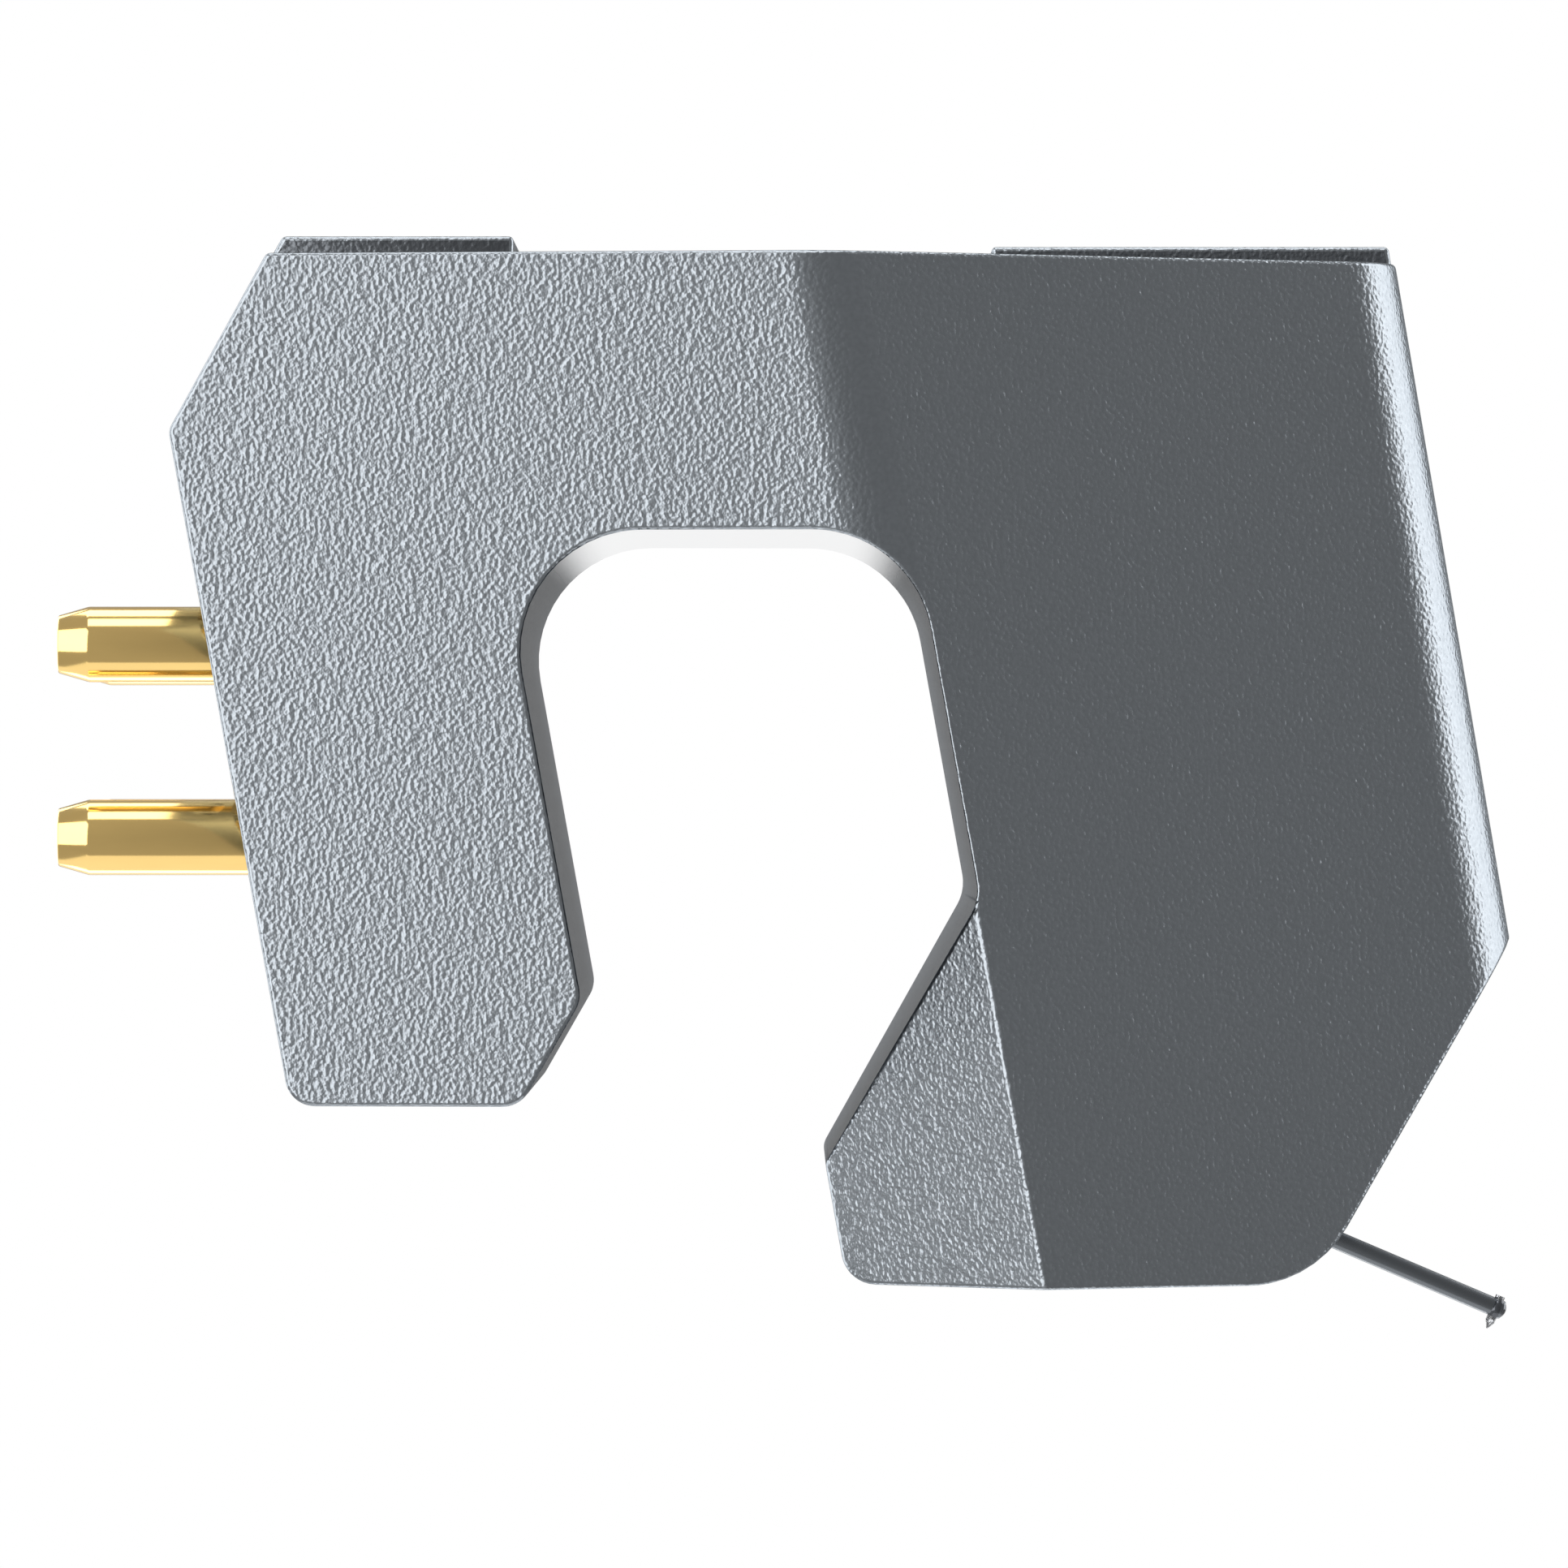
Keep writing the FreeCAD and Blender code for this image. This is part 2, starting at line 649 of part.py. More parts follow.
def front_yoke():
    """Pole plate with flats above and below and two arms back to the rear yoke."""
    body = doc.addObject("PartDesign::Body", "front_yoke")
    disc = circle_sketch("front_yoke_disc", seat_radius, body)
    disc.AttachmentOffset = FreeCAD.Placement(FreeCAD.Vector(0, 0, calc(yoke_face)), FreeCAD.Rotation())
    disc.setExpression("AttachmentOffset.Base.z", yoke_face)
    pad = body.newObject("PartDesign::Pad", "front_yoke_pad")
    pad.Profile = disc
    pad.setExpression("Length", f"dim.front_yoke_start + dim.front_yoke_thickness - ({yoke_face})")
    doc.recompute()
    front = "dim.front_yoke_start + dim.front_yoke_thickness + dim.trim_margin"
    wide = "dim.bore_radius + dim.trim_margin"
    for name, side in (("over", "1"), ("under", "-1")):
        flat = flat_sketch(f"yoke_flat_{name}", [
            (f"({yoke_face}) - dim.trim_margin", f"{side} * dim.front_yoke_half_height"),
            (front, f"{side} * dim.front_yoke_half_height"),
            (front, f"{side} * ({wide})"),
            (f"({yoke_face}) - dim.trim_margin", f"{side} * ({wide})"),
        ], body, "XZ_Plane")
        through_pocket(body, f"yoke_flat_{name}_cut", flat, f"2 * ({wide})")
        step = flat_sketch(f"yoke_arm_{name}", [
            (f"({yoke_face}) - dim.trim_margin", f"{side} * dim.yoke_arm_half_height"),
            ("dim.front_yoke_start", f"{side} * dim.yoke_arm_half_height"),
            ("dim.front_yoke_start", f"{side} * ({wide})"),
            (f"({yoke_face}) - dim.trim_margin", f"{side} * ({wide})"),
        ], body, "XZ_Plane")
        through_pocket(body, f"yoke_arm_{name}_cut", step, f"2 * ({wide})")
    gap = flat_sketch("yoke_arm_gap", [
        (f"({yoke_face}) - dim.trim_margin", "-dim.yoke_arm_inner"),
        ("dim.front_yoke_start", "-dim.yoke_arm_inner"),
        ("dim.front_yoke_start", "dim.yoke_arm_inner"),
        (f"({yoke_face}) - dim.trim_margin", "dim.yoke_arm_inner"),
    ], body, "XY_Plane")
    through_pocket(body, "yoke_arm_gap_cut", gap, f"2 * ({wide})")
    hole = circle_sketch("yoke_hole", "dim.front_yoke_hole_radius", body)
    through_pocket(body, "yoke_hole_cut", hole, f"4 * ({wide})")
    finish(body, "front_yoke", generator_place)


def through_pocket(body, name, sketch, length):
    """Pocket that runs the same way on both sides of its sketch."""
    pocket = body.newObject("PartDesign::Pocket", name)
    pocket.Profile = sketch
    pocket.Midplane = True
    pocket.setExpression("Length", length)
    doc.recompute()
    return pocket


def grub_screw():
    """Socket-headed grub screw that bears on the rear yoke from below."""
    body = doc.addObject("PartDesign::Body", "grub_screw")
    shank = circle_sketch("grub_screw_circle", "dim.screw_radius - dim.running_gap", body, "XY_Plane")
    pad = body.newObject("PartDesign::Pad", "grub_screw_pad")
    pad.Profile = shank
    pad.setExpression("Length", "dim.screw_length")
    doc.recompute()
    corners = []
    for i in range(6):
        turn = 60 * i
        corners.append((f"dim.screw_socket_radius * cos({turn})", f"dim.screw_socket_radius * sin({turn})"))
    hexagon = flat_sketch("grub_screw_hexagon", corners, body, "XY_Plane")
    socket = body.newObject("PartDesign::Pocket", "grub_screw_socket")
    socket.Profile = hexagon
    socket.Reversed = True
    socket.setExpression("Length", "dim.screw_socket_depth")
    foot = on_axis("-dim.screw_station", f"-({seat_radius}) - dim.screw_length")
    place = FreeCAD.Placement(FreeCAD.Vector(*[calc(e) for e in foot]), generator_place.Rotation)
    finish(body, "grub_screw", place)


def moving_generator():
    """Damper, armature with its two coil pairs, and cantilever with the stylus."""
    finish(turned("damper", [
        ("-dim.damper_thickness", "dim.damper_bore_radius"),
        ("-dim.damper_thickness", "dim.damper_radius"),
        ("0", "dim.damper_radius"),
        ("0", "dim.damper_bore_radius"),
    ], generator_place), "damper")
    finish(armature(), "armature", generator_place)
    for name, turn in (("left_coils", 45), ("right_coils", -45)):
        finish(coil_pair(name, turn), name, generator_place)
    finish(cantilever(), "cantilever", generator_place)
    finish(stylus_cement(), "stylus_cement", generator_place)
    finish(stylus(), "stylus")
    sleeve_end = "dim.hub_front + dim.sleeve_length"
    finish(turned("cantilever_sleeve", [
        ("dim.hub_front", "dim.cantilever_radius"),
        ("dim.hub_front", "dim.sleeve_radius"),
        (f"{sleeve_end} - dim.sleeve_radius / 2", "dim.sleeve_radius"),
        (sleeve_end, "dim.cantilever_radius + dim.running_gap"),
        (sleeve_end, "dim.cantilever_radius"),
    ], generator_place), "cantilever_sleeve")


def along_axis(name, start, end, radius):
    """Cylinder on the generator's axis between two stations, in its own frame."""
    return rod(name, (start, "0", "0"), (end, "0", "0"), radius)


def shank_hole(name):
    """Hole of the stylus shank, square to the cantilever, in its own frame."""
    reach = "dim.cement_radius + dim.shank_length"
    station = "dim.stylus_station"
    return rod(name, (station, "0", f"-({reach})"), (station, "0", reach), "dim.shank_radius")


rod_end = "dim.stylus_station + dim.cantilever_tip_length"


def cantilever():
    """Round rod with the cross hole that takes the stylus."""
    shaft = along_axis("cantilever_rod", "dim.cantilever_back", rod_end, "dim.cantilever_radius")
    return cut("cantilever", shaft, shank_hole("cantilever_cross_hole"))


def stylus_cement():
    """Bead of cement over the rod's end, round the stylus."""
    back = "dim.stylus_station - dim.cement_half_length"
    cap = "dim.cement_cap"
    bead = turned("cement_bead", [
        (back, "0"),
        (back, "dim.cantilever_radius + dim.cement_edge"),
        (f"{back} + {cap}", "dim.cement_radius"),
        (f"{rod_end} - {cap} / 2", "dim.cement_radius"),
        (f"{rod_end} + {cap}", "dim.cement_radius - dim.cement_cap"),
        (f"{rod_end} + {cap}", "0"),
    ])
    core = along_axis("cement_core", "dim.cantilever_back", rod_end, "dim.cantilever_radius")
    holes = joined("cement_holes", "Part::MultiFuse", [core, shank_hole("cement_hole")])
    return cut("stylus_cement", bead, holes)


def stylus():
    """Diamond with a straight shank and a conical, blunted point."""
    cone_end = "dim.stylus_height - dim.stylus_tip_radius / 2"
    gem = turned("stylus", [
        ("-dim.shank_top", "0"),
        ("-dim.shank_top", "dim.shank_radius"),
        ("dim.shank_length", "dim.shank_radius"),
        (cone_end, "dim.stylus_tip_radius"),
        ("dim.stylus_height", "0"),
    ])
    foot = FreeCAD.Vector(*[calc(e) for e in on_axis("dim.stylus_station")])
    turn = FreeCAD.Rotation(FreeCAD.Vector(0, 1, 0), calc("dim.cantilever_droop + 90"))
    gem.Placement = FreeCAD.Placement(foot, turn)
    return gem


def arm_box(name, turn, inner, outer, half_width, start, thickness):
    """Block that reaches out square to the axis, turned about it."""
    block = doc.addObject("Part::Box", name)
    block.setExpression("Length", thickness)
    block.setExpression("Width", f"2 * ({half_width})")
    block.setExpression("Height", f"({outer}) - ({inner})")
    spin = FreeCAD.Rotation(FreeCAD.Vector(1, 0, 0), turn)
    corner = FreeCAD.Vector(calc(start), -calc(half_width), calc(inner))
    block.Placement = FreeCAD.Placement(spin.multVec(corner), spin)
    return block


def armature():
    """Cross-shaped core plate on a round hub."""
    hub = doc.addObject("Part::Cylinder", "armature_hub")
    forward = FreeCAD.Rotation(FreeCAD.Vector(0, 1, 0), 90)
    hub.Placement = FreeCAD.Placement(FreeCAD.Vector(calc("dim.hub_back"), 0, 0), forward)
    hub.setExpression("Placement.Base.x", "dim.hub_back")
    hub.setExpression("Height", "dim.hub_front - dim.hub_back")
    hub.setExpression("Radius", "dim.hub_radius")
    arms = []
    for turn in (45, 135, 225, 315):
        arms.append(arm_box(f"armature_arm_{turn}", turn, "0", "dim.armature_radius",
                            "dim.armature_arm_width / 2", "dim.armature_start", "dim.armature_thickness"))
    core = joined("armature_core", "Part::MultiFuse", [hub] + arms)
    seat = doc.addObject("Part::Cylinder", "armature_seat")
    seat.Placement = FreeCAD.Placement(FreeCAD.Vector(calc("dim.cantilever_back"), 0, 0), forward)
    seat.setExpression("Placement.Base.x", "dim.cantilever_back")
    seat.setExpression("Height", "dim.hub_front")
    seat.setExpression("Radius", "dim.cantilever_radius")
    return cut("armature", core, seat)


def coil_pair(name, turn):
    """Two windings on opposite arms of the core plate."""
    windings = []
    for spin in (turn, turn + 180):
        start = "dim.armature_start - dim.coil_build"
        thickness = "dim.armature_thickness + 2 * dim.coil_build"
        half = "dim.armature_arm_width / 2 + dim.coil_build"
        outer = arm_box(f"{name}_winding_{spin}", spin, "dim.coil_inner_reach", "dim.coil_outer_reach",
                        half, start, thickness)
        core = arm_box(f"{name}_core_{spin}", spin, "0", "dim.armature_radius + dim.trim_margin",
                       "dim.armature_arm_width / 2", "dim.armature_start", "dim.armature_thickness")
        windings.append(cut(f"{name}_{spin}", outer, core))
    group = doc.addObject("Part::Compound", name)
    group.Links = windings
    return group


housing()
contact_pins()
lead_wires()
fixed_generator()
front_yoke()
grub_screw()
moving_generator()
doc.recompute()

for item in doc.Objects:
    if "Invalid" in item.State or "Error" in item.State:
        raise RuntimeError(f"{item.Name} failed: {item.State}")
os.makedirs("parts", exist_ok=True)
for name, piece in PIECES:
    shape = piece.Shape
    if shape.isNull() or not shape.isValid():
        raise RuntimeError(f"{name} has no valid shape")
    shape.exportStep(f"parts/{name}.step")
    print(name, round(shape.Volume, 4), len(shape.Solids))
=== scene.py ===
import json
import math

import bmesh
import bpy
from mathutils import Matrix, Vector


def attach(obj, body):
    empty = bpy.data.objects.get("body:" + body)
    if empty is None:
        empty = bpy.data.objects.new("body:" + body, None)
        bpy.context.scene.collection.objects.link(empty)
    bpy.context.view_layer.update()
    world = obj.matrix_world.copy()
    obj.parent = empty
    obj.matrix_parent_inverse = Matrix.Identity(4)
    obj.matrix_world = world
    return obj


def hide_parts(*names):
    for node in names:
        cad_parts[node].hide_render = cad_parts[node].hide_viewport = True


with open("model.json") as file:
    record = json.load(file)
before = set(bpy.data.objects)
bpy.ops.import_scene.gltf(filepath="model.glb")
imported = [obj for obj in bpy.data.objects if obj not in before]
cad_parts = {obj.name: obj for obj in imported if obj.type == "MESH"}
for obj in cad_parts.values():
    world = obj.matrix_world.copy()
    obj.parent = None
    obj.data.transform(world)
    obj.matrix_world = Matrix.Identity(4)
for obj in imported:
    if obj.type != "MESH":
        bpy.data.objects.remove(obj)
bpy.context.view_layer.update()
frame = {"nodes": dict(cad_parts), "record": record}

mm = 0.001
scene = bpy.context.scene
scene.view_settings.view_transform = "Standard"
print("frame loaded", len(frame["nodes"]), "nodes")

# the generator's slanting line: forward and down from the pivot, along its bore and the rod
rodAxis = Vector((0.9203, 0.0, -0.3914))
rodPivot = Vector((3.203, 0.0, -14.42)) * mm


def deselectAll():
    if bpy.context.mode != "OBJECT":
        bpy.ops.object.mode_set(mode="OBJECT")
    bpy.ops.object.select_all(action="DESELECT")


def activate(piece):
    deselectAll()
    piece.select_set(True)
    bpy.context.view_layer.objects.active = piece


def applyModifier(piece, kind, **values):
    activate(piece)
    modifier = piece.modifiers.new(kind.lower(), kind)
    for name, value in values.items():
        setattr(modifier, name, value)
    bpy.ops.object.modifier_apply(modifier=modifier.name)


def copyOfNode(node, name, mergeWithin=0.0001, flatWithin=0.1):
    # a merged copy of a CAD solid, with its flat faces whole again; millimetres and degrees
    source = frame["nodes"][node]
    piece = bpy.data.objects.new(name, source.data.copy())
    scene.collection.objects.link(piece)
    piece.data.materials.clear()
    activate(piece)
    bpy.ops.object.mode_set(mode="EDIT")
    bpy.ops.mesh.select_all(action="SELECT")
    bpy.ops.mesh.remove_doubles(threshold=mergeWithin * mm)
    bpy.ops.mesh.dissolve_limited(angle_limit=math.radians(flatWithin))
    bpy.ops.object.mode_set(mode="OBJECT")
    return piece


def shadeByAngle(piece, degrees):
    activate(piece)
    bpy.ops.object.shade_smooth_by_angle(angle=math.radians(degrees))


def flattenNormals(piece):
    # large flat faces keep their own direction, and only the small rounds between them bend
    applyModifier(piece, "WEIGHTED_NORMAL", mode="FACE_AREA", weight=100, keep_sharp=True)


def roundEdges(piece, width, segments, degrees):
    applyModifier(piece, "BEVEL", width=width * mm, segments=segments, limit_method="ANGLE",
                  angle_limit=math.radians(degrees), use_clamp_overlap=False, loop_slide=False)


def finishPiece(piece, node, body):
    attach(piece, body)
    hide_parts(node)


def newGroup(name, inputs, outputs):
    group = bpy.data.node_groups.new(name, "ShaderNodeTree")
    for label, kind, value in inputs:
        socket = group.interface.new_socket(label, in_out="INPUT", socket_type=kind)
        socket.default_value = value
    for label, kind in outputs:
        group.interface.new_socket(label, in_out="OUTPUT", socket_type=kind)
    return group, group.nodes.new("NodeGroupInput"), group.nodes.new("NodeGroupOutput")


def newMaterial(name):
    material = bpy.data.materials.new(name)
    material.use_nodes = True
    tree = material.node_tree
    return material, tree, tree.nodes["Principled BSDF"]


def plug(tree, socket, value):
    # an input takes a link from another node or a plain value
    if isinstance(value, bpy.types.NodeSocket):
        tree.links.new(value, socket)
    else:
        socket.default_value = value


def setShader(tree, shader, values):
    for name, value in values.items():
        plug(tree, shader.inputs[name], value)


def addNode(tree, kind, **values):
    # a value goes to the node's setting of that name, or else to its input
    node = tree.nodes.new(kind)
    for name, value in values.items():
        if hasattr(node, name):
            setattr(node, name, value)
        else:
            node.inputs[name].default_value = value
    return node


def mathNode(tree, operation, *terms, kind="ShaderNodeMath", output=0):
    node = addNode(tree, kind, operation=operation)
    for socket, term in zip(node.inputs, terms):
        plug(tree, socket, term)
    return node.outputs[output]


def vectorNode(tree, operation, *terms, output="Vector"):
    return mathNode(tree, operation, *terms, kind="ShaderNodeVectorMath", output=output)


def rangeNode(tree, value, fromEnds=(0, 1), toEnds=(0, 1), kind="LINEAR"):
    node = addNode(tree, "ShaderNodeMapRange", interpolation_type=kind)
    for label, ends in (("From", fromEnds), ("To", toEnds)):
        node.inputs[label + " Min"].default_value = ends[0]
        node.inputs[label + " Max"].default_value = ends[1]
    tree.links.new(value, node.inputs["Value"])
    return node.outputs["Result"]


def mixNode(tree, factor, first, second, blend="MIX"):
    # a mix of colours has its factor in input 0, its colours in 6 and 7 and its result in output 2
    node = addNode(tree, "ShaderNodeMix", data_type="RGBA", blend_type=blend)
    for index, value in ((0, factor), (6, first), (7, second)):
        plug(tree, node.inputs[index], value)
    return node.outputs[2]


def objectPlace(tree):
    return addNode(tree, "ShaderNodeTexCoord").outputs["Object"]


def noiseNode(tree, place, scale, detail):
    noise = addNode(tree, "ShaderNodeTexNoise", Detail=detail)
    tree.links.new(place, noise.inputs["Vector"])
    plug(tree, noise.inputs["Scale"], scale)
    return noise.outputs["Fac"]


def addBump(tree, shader, height, depth):
    # depth in millimetres
    bump = addNode(tree, "ShaderNodeBump", Distance=depth * mm)
    tree.links.new(height, bump.inputs["Height"])
    tree.links.new(bump.outputs["Normal"], shader.inputs["Normal"])


blastedLook = {
    "colour": (0.335, 0.362, 0.39, 1),
    "edgeTint": (0.5, 0.52, 0.54, 1),       # what a glancing look sees
    "roughness": 0.25,
    "spots": (-0.25, 0.25),     # how far the grain departs from its mean
    "spotShades": (0.95, 1.05),
    "spotRoughness": -0.06,
    "cellsPerMm": 14.0,
    "fineCells": 2.1,       # along the length of one coarse cell
    "bumpDepth": 0.0116,    # millimetres
}


def makeBlastedGroup():
    # pebbled grain of blasted metal: rounded cells with finer noise on top
    group, given, result = newGroup(
        "blastedGrain",
        [("Cells per mm", "NodeSocketFloat", 9.0), ("Fine share", "NodeSocketFloat", 0.25)],
        [("Height", "NodeSocketFloat"), ("Spots", "NodeSocketFloat")])
    place = objectPlace(group)
    scale = mathNode(group, "MULTIPLY", given.outputs["Cells per mm"], 1 / mm)
    coarse = noiseNode(group, place, scale, 0.0)
    fine = noiseNode(group, place, mathNode(group, "MULTIPLY", scale, blastedLook["fineCells"]), 0.0)
    share = mathNode(group, "MULTIPLY", fine, given.outputs["Fine share"])
    group.links.new(mathNode(group, "ADD", coarse, share), result.inputs["Height"])
    group.links.new(mathNode(group, "SUBTRACT", coarse, 0.5), result.inputs["Spots"])
    return group


def placeGrain(tree, grain):
    cells = addNode(tree, "ShaderNodeGroup")
    cells.node_tree = grain
    cells.inputs["Cells per mm"].default_value = blastedLook["cellsPerMm"]
    return cells.outputs["Height"], cells.outputs["Spots"]


def makeBlastedMetal(grain):
    material, tree, shader = newMaterial("blastedMetal")
    height, spots = placeGrain(tree, grain)
    shades = rangeNode(tree, spots, blastedLook["spots"], blastedLook["spotShades"])
    rough = mathNode(tree, "MULTIPLY", spots, blastedLook["spotRoughness"])
    setShader(tree, shader, {
        "Base Color": mixNode(tree, 1.0, blastedLook["colour"], shades, "MULTIPLY"),
        "Roughness": mathNode(tree, "ADD", rough, blastedLook["roughness"]),
        "Metallic": 1.0,
        "Specular Tint": blastedLook["edgeTint"],
    })
    addBump(tree, shader, height, blastedLook["bumpDepth"])
    return material


plainLook = {
    "marksPerMm": 3.0,
    "markDetail": 3.0,
    "markShades": (0.9, 1.06),
    "markRoughness": 0.08,
}


def makePlainMetal(name, colour, roughness, markDepth=0.002, metallic=1.0, stretch=(1, 1, 1)):
    # turned, drawn or plated metal with faint, drawn-out marks, or plastic and rubber
    material, tree, shader = newMaterial(name)
    mapping = addNode(tree, "ShaderNodeMapping", Scale=stretch)
    tree.links.new(objectPlace(tree), mapping.inputs["Vector"])
    marks = noiseNode(tree, mapping.outputs["Vector"], plainLook["marksPerMm"] / mm, plainLook["markDetail"])
    shades = rangeNode(tree, marks, toEnds=plainLook["markShades"])
    spread = plainLook["markRoughness"]
    rough = mathNode(tree, "ADD", mathNode(tree, "MULTIPLY", marks, spread), roughness - spread / 2)
    setShader(tree, shader, {
        "Base Color": mixNode(tree, 1.0, (*colour, 1), shades, "MULTIPLY"),
        "Roughness": rough,
        "Metallic": metallic,
    })
    addBump(tree, shader, marks, markDepth)
    return material


wallLook = {
    # colour and edgeTint are painted shade: darker than the body's metal, for the shade inside the window,
    # between the legs and on the pads' sides
    "colour": (0.14, 0.15, 0.163, 1),
    "edgeTint": (0.3, 0.31, 0.32, 1),
    "ceiling": (0.4, 0.42, 0.445, 1),
    "ceilingTint": (1, 1, 1, 1),
    "roughness": 0.3,
    "ceilingRoughness": 0.07,
    "ceilingSlope": (-0.6, -0.96),      # of the normal, from walls to what faces straight down
}


def makeInnerWall(grain):
    # inner walls and the pads' sides keep the blasted grain, in a dark colour that is painted shade; only
    # the window's ceiling is left smooth
    material, tree, shader = newMaterial("innerWall")
    facing = addNode(tree, "ShaderNodeNewGeometry")
    slope = addNode(tree, "ShaderNodeSeparateXYZ")
    tree.links.new(facing.outputs["Normal"], slope.inputs["Vector"])
    ceiling = rangeNode(tree, slope.outputs["Z"], wallLook["ceilingSlope"], kind="SMOOTHSTEP")
    roughEnds = (wallLook["roughness"], wallLook["ceilingRoughness"])
    setShader(tree, shader, {
        "Base Color": mixNode(tree, ceiling, wallLook["colour"], wallLook["ceiling"]),
        "Roughness": rangeNode(tree, ceiling, toEnds=roughEnds),
        "Metallic": 1.0,
        "Specular Tint": mixNode(tree, ceiling, wallLook["edgeTint"], wallLook["ceilingTint"]),
    })
    height = placeGrain(tree, grain)[0]
    share = mathNode(tree, "SUBTRACT", 1.0, ceiling)
    addBump(tree, shader, mathNode(tree, "MULTIPLY", height, share), blastedLook["bumpDepth"])
    return material


windingLook = {
    "colour": (0.72, 0.3, 0.12, 1),
    # painted shade: the copper darkened in the crevices between turns
    "gap": (0.25, 0.08, 0.03, 1),
    "gapPower": 0.6,        # below 1 it leaves wide turns and thin gaps
    "wireWidth": 0.045,     # millimetres
    "bumpDepth": 0.02,
    "metallic": 0.8,
    "roughness": 0.3,
}


def makeWinding():
    # turns of fine wire, laid one beside the other along each arm of the armature, with painted shade in the
    # gaps between them
    material, tree, shader = newMaterial("copperWinding")
    away = vectorNode(tree, "SUBTRACT", objectPlace(tree), rodPivot)
    cross = vectorNode(tree, "CROSS_PRODUCT", away, rodAxis)
    reach = vectorNode(tree, "LENGTH", cross, output="Value")
    turns = mathNode(tree, "MULTIPLY", reach, math.pi / (windingLook["wireWidth"] * mm))
    ridge = mathNode(tree, "ABSOLUTE", mathNode(tree, "SINE", turns))
    share = mathNode(tree, "POWER", ridge, windingLook["gapPower"])
    setShader(tree, shader, {
        "Base Color": mixNode(tree, share, windingLook["gap"], windingLook["colour"]),
        "Roughness": windingLook["roughness"],
        "Metallic": windingLook["metallic"],
    })
    addBump(tree, shader, ridge, windingLook["bumpDepth"])
    return material


gemLook = {
    "colour": (0.92, 0.93, 0.95, 1),
    "cloud": (0.42, 0.44, 0.48, 1),
    "cloudsPerMm": 9.0,
    "cloudDetail": 2.0,
    "roughness": 0.03,
    "transmission": 0.85,
    "ior": 2.42,
}


def makeGem():
    material, tree, shader = newMaterial("gemDiamond")
    cloud = noiseNode(tree, objectPlace(tree), gemLook["cloudsPerMm"] / mm, gemLook["cloudDetail"])
    setShader(tree, shader, {
        "Base Color": mixNode(tree, cloud, gemLook["cloud"], gemLook["colour"]),
        "Roughness": gemLook["roughness"],
        "Transmission Weight": gemLook["transmission"],
        "IOR": gemLook["ior"],
    })
    return material


cementLook = {
    "colour": (0.05, 0.055, 0.06, 1),
    "lumpColour": (0.16, 0.17, 0.19, 1),
    "lumpsPerMm": 5.0,
    "lumpDetail": 1.0,
    "lumpDepth": 0.004,     # millimetres
    "roughness": 0.06,
    "metallic": 0.6,
}


def makeCement():
    # a drop of glossy cement with a lumpy skin that throws small bright points
    material, tree, shader = newMaterial("cementBead")
    lumps = noiseNode(tree, objectPlace(tree), cementLook["lumpsPerMm"] / mm, cementLook["lumpDetail"])
    setShader(tree, shader, {
        "Base Color": mixNode(tree, lumps, cementLook["colour"], cementLook["lumpColour"]),
        "Roughness": cementLook["roughness"],
        "Metallic": cementLook["metallic"],
    })
    addBump(tree, shader, lumps, cementLook["lumpDepth"])
    return material


grainGroup = makeBlastedGroup()
blastedMetal = makeBlastedMetal(grainGroup)
innerWall = makeInnerWall(grainGroup)
boredMetal = makePlainMetal("boredMetal", (0.4, 0.42, 0.45), 0.25, stretch=(6, 1, 1))
goldPlate = makePlainMetal("goldPlate", (1.0, 0.7, 0.26), 0.12, markDepth=0.0006, stretch=(0.2, 1, 1))
darkRod = makePlainMetal("darkRod", (0.19, 0.205, 0.222), 0.28, markDepth=0.0008, stretch=(0.15, 1, 0.15))
softIron = makePlainMetal("softIron", (0.5, 0.5, 0.52), 0.35)
steelMaterial = makePlainMetal("drawnSteel", (0.6, 0.6, 0.62), 0.28)
magnetMaterial = makePlainMetal("groundMagnet", (0.25, 0.25, 0.27), 0.4)
blackScrew = makePlainMetal("blackenedScrew", (0.05, 0.05, 0.055), 0.35)
sleeveMetal = makePlainMetal("turnedSleeve", (0.62, 0.63, 0.66), 0.25)
copperWire = makePlainMetal("enamelledCopper", (0.75, 0.32, 0.14), 0.3)
bushPlastic = makePlainMetal("bushPlastic", (0.6, 0.58, 0.53), 0.4, metallic=0.0)
damperRubber = makePlainMetal("damperRubber", (0.02, 0.02, 0.021), 0.7, metallic=0.0)
copperWinding = makeWinding()
gemMaterial = makeGem()
cementMaterial = makeCement()
print("materials made")


bodyMetals = (blastedMetal, innerWall, boredMetal)
blastedPlace, paintedShadePlace, borePlace = range(3)       # their places in the body's list
bodyLook = {
    "mergeWithin": 0.012,   # millimetres, as all lengths here
    "edgeRound": 0.07,
    "roundSegments": 3,
    "sharpAngle": 35,       # degrees
    "smoothAngle": 40,
    "innerFrom": (-7.0, -16.4),     # x and z of the walls between the legs
    "innerTo": (1.5, -4.3),
    "innerReach": 4.0,      # y, from the middle
    "wallSlope": 0.02,      # the most that a wall's normal leans out of its plane
    "legEndSlope": -0.8,    # faces that look down more than this are a leg's end
    "legEndBelow": -10.0,
    "padFoot": 0.02,
    "padSlope": 0.3,
    "boreRadius": 1.95,
    "boreSlope": 0.05,
    "boreMouth": 2.3,
    "ductReach": 4.6,       # bore and ducts lie nearer to the middle than this
    "ductEdge": 1.5,        # and their edges are shorter than this
    "ductFront": 5.0,
    "ductTop": -0.1,
    "mountEdge": 0.5,       # the same for the mounting holes
    "mountFront": 1.2,
    "mountReach": (5.2, 7.5),
    "mountFoot": -3.8,
}


